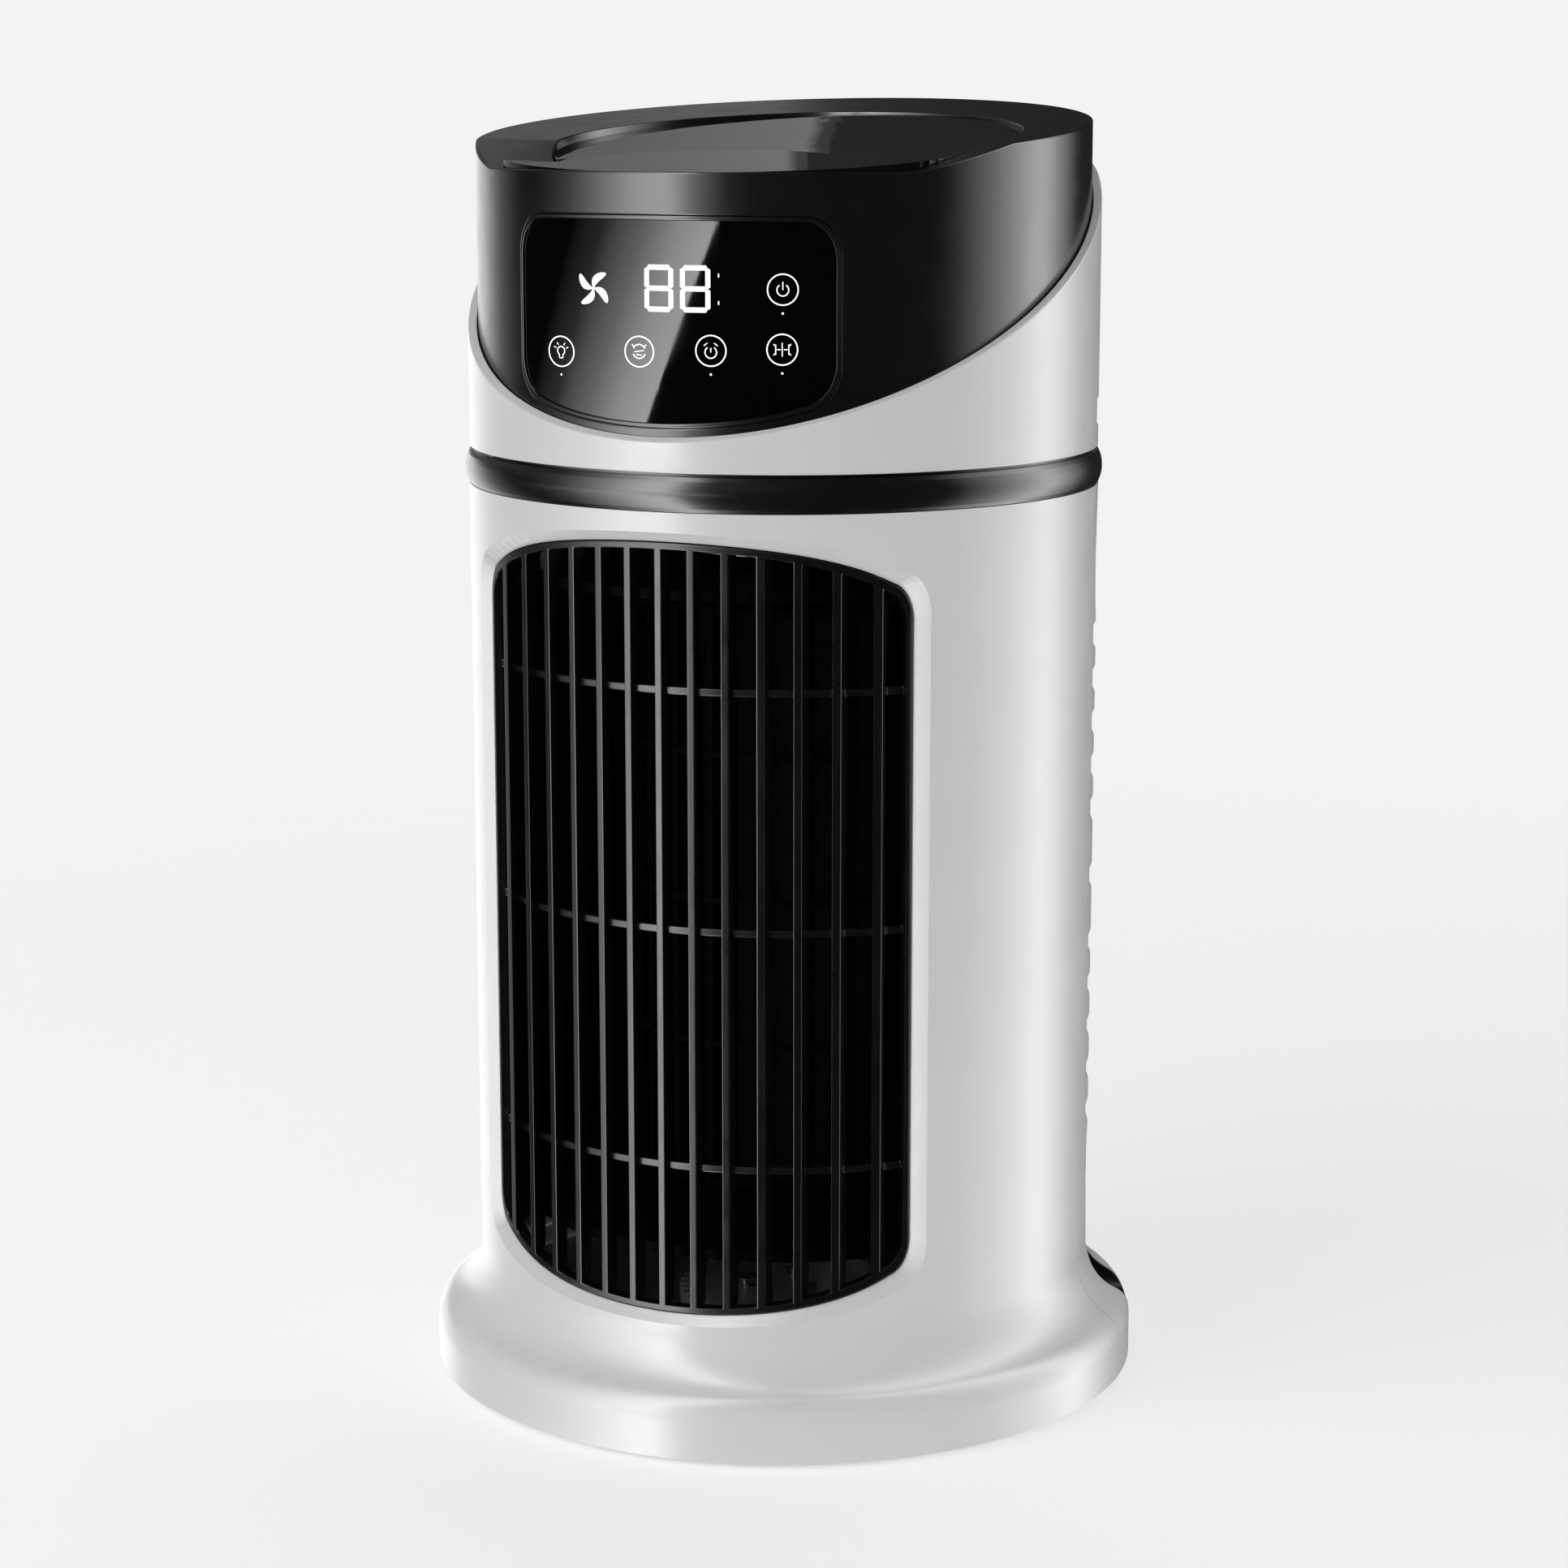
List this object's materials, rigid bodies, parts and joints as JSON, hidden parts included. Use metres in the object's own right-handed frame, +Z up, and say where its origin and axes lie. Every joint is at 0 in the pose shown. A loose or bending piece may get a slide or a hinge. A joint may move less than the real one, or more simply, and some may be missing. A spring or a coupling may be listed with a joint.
{
  "type": "tower fan",
  "caption": "Compact upright tower fan: round white casing on a swivelling base, slatted black front grille, slanted black head with a touch panel.",
  "frame": {"origin": "on the floor, on the swivel axis under the middle of the base", "axes": "+Z up along the swivel axis, -Y towards the front grille, +X to the fan's left side as seen from behind the grille"},
  "size_m": [0.18, 0.18, 0.3205],
  "materials": {
    "white_gloss": "smooth gloss",
    "black_gloss": "high gloss",
    "black_glass": "polished, dark tint",
    "black_satin": "satin moulded",
    "wheel_plastic": "satin moulded",
    "base_plastic": "fine moulded",
    "gear_plastic": "natural acetal",
    "filter_cloth": "woven mesh",
    "rubber": "soft matt",
    "steel": "ground",
    "zinc": "zinc plated",
    "screw_steel": "zinc plated",
    "bronze": "sintered",
    "copper": "enamelled windings",
    "magnet": "dark ferrite",
    "board_green": "solder mask",
    "parts_black": "moulded",
    "display_white": "diffuser",
    "spring_steel": "tinned",
    "loom_black": "sleeved"
  },
  "bodies": {
    "base": {"foot_plate": "base_plastic", "rubber_feet": "rubber", "glide_ring": "gear_plastic", "thrust_washer": "steel", "swing_gear": "gear_plastic", "gear_screws": "screw_steel"},
    "tower": {"turntable": "base_plastic", "table_screws": "screw_steel", "swing_bracket": "zinc", "swing_motor": "zinc", "swing_screws": "screw_steel", "front_housing": "white_gloss", "rear_housing": "white_gloss", "casing_screws": "screw_steel", "front_grille": "black_satin", "dust_filter": "filter_cloth", "lower_deck": "black_satin", "upper_deck": "black_satin", "scroll_wall": "black_satin", "tongue_wall": "black_satin", "bearing_grommet": "rubber", "lower_bush": "bronze", "motor_can": "zinc", "motor_stator": "copper", "motor_bearing": "steel", "motor_bushes": "rubber", "motor_screws": "screw_steel", "mid_ring": "black_gloss", "head_floor": "black_satin", "head_shell": "black_gloss", "head_screws": "screw_steel", "collar": "white_gloss", "top_cover": "black_gloss", "panel_bezel": "black_gloss", "panel_glass": "black_glass", "display_board": "board_green", "digit_display": "display_white", "touch_springs": "spring_steel", "board_brackets": "black_satin", "control_board": "board_green", "board_parts": "parts_black", "board_screws": "screw_steel", "power_socket": "parts_black", "socket_well": "black_satin", "wire_loom": "loom_black"},
    "blower": {"blower_wheel": "wheel_plastic", "wheel_shaft": "steel", "rotor_core": "magnet"},
    "pinion": {"swing_pinion": "gear_plastic"}
  },
  "joints": [
    {"name": "swing", "type": "hinge", "parent": "base", "child": "tower", "pos_m": [0, 0, 0.0042], "axis": [0, 0, 1], "range_deg": [-35, 35]},
    {"name": "blower_spin", "type": "hinge", "parent": "tower", "child": "blower", "pos_m": [0, 0.006, 0.044], "axis": [0, 0, 1], "continuous": true},
    {"name": "pinion_spin", "type": "hinge", "parent": "tower", "child": "pinion", "pos_m": [0, 0.035, 0.0148], "axis": [0, 0, 1], "range_deg": [-105, 105]}
  ],
  "couplings": [
    {"joint": "pinion_spin", "follows": "swing", "ratio": 3}
  ]
}
